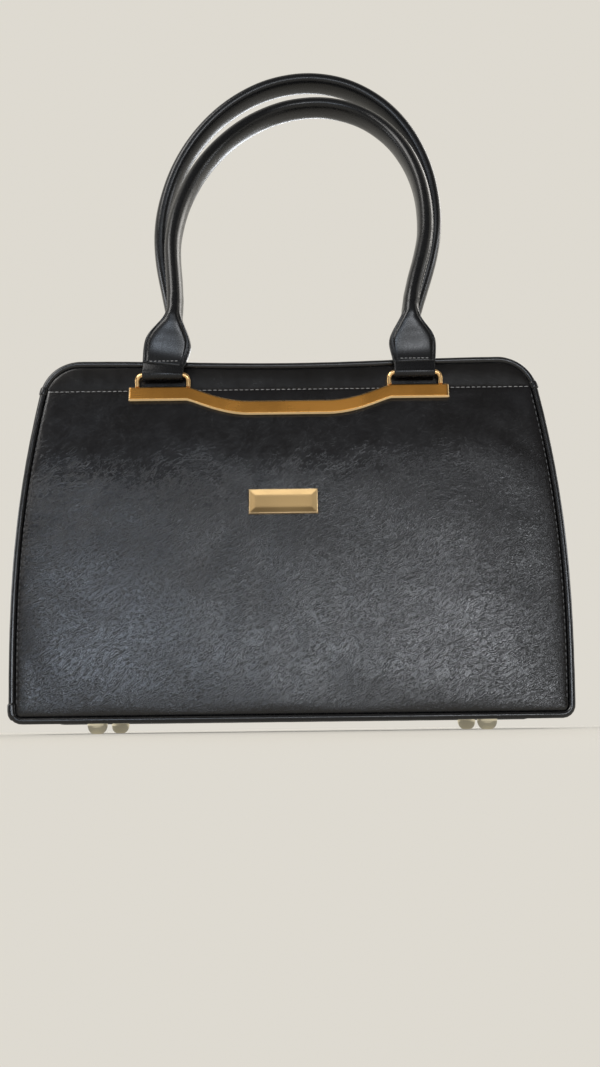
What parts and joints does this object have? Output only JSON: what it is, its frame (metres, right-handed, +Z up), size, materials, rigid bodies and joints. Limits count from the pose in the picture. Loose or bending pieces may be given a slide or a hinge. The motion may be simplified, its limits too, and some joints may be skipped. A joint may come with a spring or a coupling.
{
  "type": "top handle bag",
  "caption": "Structured top handle bag with piped edges, a curved metal bar with arch loops on each face, rolled handles that swing, and a zip top that opens.",
  "frame": {"origin": "on the floor below the middle of the bag, which stands on its feet", "axes": "+Z up, -Y out of the front that carries the plaque, +X to the right of someone who faces the front"},
  "size_m": [0.3352, 0.1194, 0.4711],
  "materials": {
    "panel_leather": "pebbled, low sheen",
    "smooth_leather": "smooth, low sheen",
    "side_leather": "fine grain",
    "piping_leather": "smooth, slight sheen",
    "padding": "felt",
    "board": "pressed board",
    "lining": "woven",
    "gold_metal": "polished plating",
    "teeth_metal": "bright",
    "rivet_metal": "plain",
    "zip_tape": "woven tape",
    "core": "foamed rod"
  },
  "bodies": {
    "bag": {"front_panel": "panel_leather", "back_panel": "panel_leather", "front_yoke": "smooth_leather", "back_yoke": "smooth_leather", "zip_end_left": "smooth_leather", "zip_end_right": "smooth_leather", "side_gusset_left": "side_leather", "side_gusset_right": "side_leather", "base_panel": "side_leather", "front_piping": "piping_leather", "back_piping": "piping_leather", "front_padding": "padding", "back_padding": "padding", "side_padding_left": "padding", "side_padding_right": "padding", "front_board": "board", "back_board": "board", "base_board": "board", "lining": "lining", "front_bar": "gold_metal", "back_bar": "gold_metal", "front_loop_left": "gold_metal", "front_loop_right": "gold_metal", "back_loop_left": "gold_metal", "back_loop_right": "gold_metal", "plaque": "gold_metal", "feet": "gold_metal", "zip_bottom_stop": "teeth_metal", "front_bar_rivets": "rivet_metal", "back_bar_rivets": "rivet_metal", "plaque_rivets": "rivet_metal", "foot_washers": "rivet_metal"},
    "front_handle": {"handle_front_cover": "smooth_leather", "handle_front_core": "core", "handle_front_tab_left": "smooth_leather", "handle_front_tab_right": "smooth_leather"},
    "back_handle": {"handle_back_cover": "smooth_leather", "handle_back_core": "core", "handle_back_tab_left": "smooth_leather", "handle_back_tab_right": "smooth_leather"},
    "front_zip_flap": {"zip_strip_front": "smooth_leather", "zip_tape_front": "zip_tape", "zip_teeth_front": "teeth_metal"},
    "back_zip_flap": {"zip_strip_back": "smooth_leather", "zip_tape_back": "zip_tape", "zip_teeth_back": "teeth_metal"},
    "slider": {"zip_slider": "gold_metal"},
    "pull": {"zip_pull": "gold_metal"}
  },
  "joints": [
    {"name": "front_handle_swing", "type": "hinge", "parent": "bag", "child": "front_handle", "pos_m": [0, -0.04473, 0.22099], "axis": [1, 0, 0], "range_deg": [0, 155]},
    {"name": "back_handle_swing", "type": "hinge", "parent": "bag", "child": "back_handle", "pos_m": [0, 0.04473, 0.22099], "axis": [-1, 0, 0], "range_deg": [0, 145]},
    {"name": "zip_slider_travel", "type": "slide", "parent": "bag", "child": "slider", "axis": [1, 0, 0], "range_m": [-0.203, 0]},
    {"name": "front_zip_flap_fold", "type": "hinge", "parent": "bag", "child": "front_zip_flap", "pos_m": [0, -0.03562, 0.23], "axis": [1, 0, 0], "range_deg": [0, 60], "deforming": ["zip_tape_front", "zip_teeth_front"]},
    {"name": "back_zip_flap_fold", "type": "hinge", "parent": "bag", "child": "back_zip_flap", "pos_m": [0, 0.03562, 0.23], "axis": [-1, 0, 0], "range_deg": [0, 60], "deforming": ["zip_tape_back", "zip_teeth_back"]},
    {"name": "zip_pull_swing", "type": "hinge", "parent": "slider", "child": "pull", "pos_m": [0.10398, 0, 0.2321], "axis": [0, 1, 0], "range_deg": [0, 160]}
  ],
  "couplings": [
    {"joint": "front_zip_flap_fold", "follows": "zip_slider_travel", "rad_per_m": -5.15},
    {"joint": "back_zip_flap_fold", "follows": "zip_slider_travel", "rad_per_m": -5.15}
  ]
}
